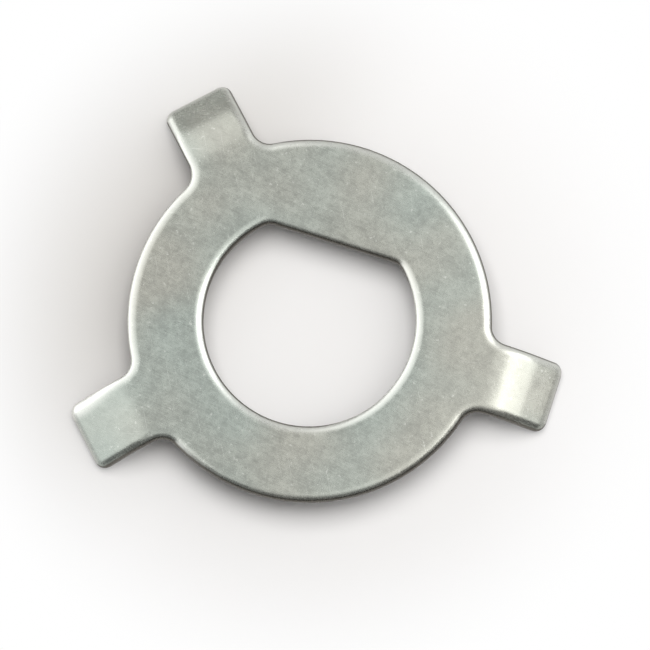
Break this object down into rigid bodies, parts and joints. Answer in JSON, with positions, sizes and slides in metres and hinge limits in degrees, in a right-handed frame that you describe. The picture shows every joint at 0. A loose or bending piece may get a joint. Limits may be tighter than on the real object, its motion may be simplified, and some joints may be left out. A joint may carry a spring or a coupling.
{
  "type": "tab lock washer",
  "caption": "Stamped tab lock washer: a flat ring with a flat-sided shaft hole and bent locking tabs that keep a nut from turning.",
  "frame": {"origin": "on the axis of the shaft hole, level with the ring's underside, the side that the tabs are bent toward", "axes": "+Z along the hole's axis, out of the rolled-edge side; +X toward the tab opposite the pair; +Y toward the hole's flat side"},
  "size_m": [0.0552, 0.0486, 0.0047],
  "materials": {
    "zinc_plated_steel": "satin zinc plating"
  },
  "bodies": {
    "root": {"tab_lock_washer": "zinc_plated_steel"}
  },
  "joints": []
}
